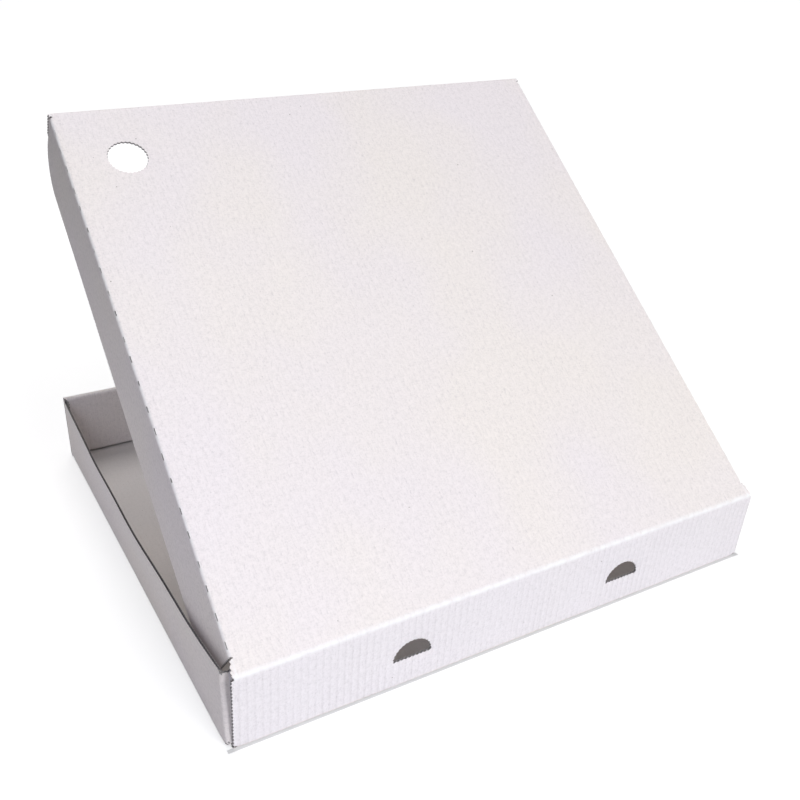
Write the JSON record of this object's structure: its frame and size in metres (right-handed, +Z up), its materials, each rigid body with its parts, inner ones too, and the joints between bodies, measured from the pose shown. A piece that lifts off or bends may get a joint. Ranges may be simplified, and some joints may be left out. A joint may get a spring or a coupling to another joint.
{
  "type": "pizza box",
  "caption": "Folded corrugated-board pizza box, open: a square tray with a roll-over front and vented rear wall, and a hinged lid with flaps and a round hole.",
  "frame": {"origin": "centre of the tray's underside, where the box rests", "axes": "+Z up; -Y towards the front, where the lid opens; the hinge crease runs along X at the rear"},
  "size_m": [0.303, 0.3113, 0.2352],
  "materials": {
    "tray_board": "matt white liner outside, pale warm-grey liner inside, on fine-fluted board",
    "lid_board": "matt white liner outside, pale warm-grey liner inside, on fine-fluted board"
  },
  "bodies": {
    "tray": {"tray": "tray_board"},
    "lid": {"lid": "lid_board"}
  },
  "joints": [
    {"name": "lid_hinge", "type": "hinge", "parent": "tray", "child": "lid", "pos_m": [0, 0.15752, 0.04225], "axis": [-1, 0, 0], "range_deg": [-39.3, 140.7]}
  ]
}
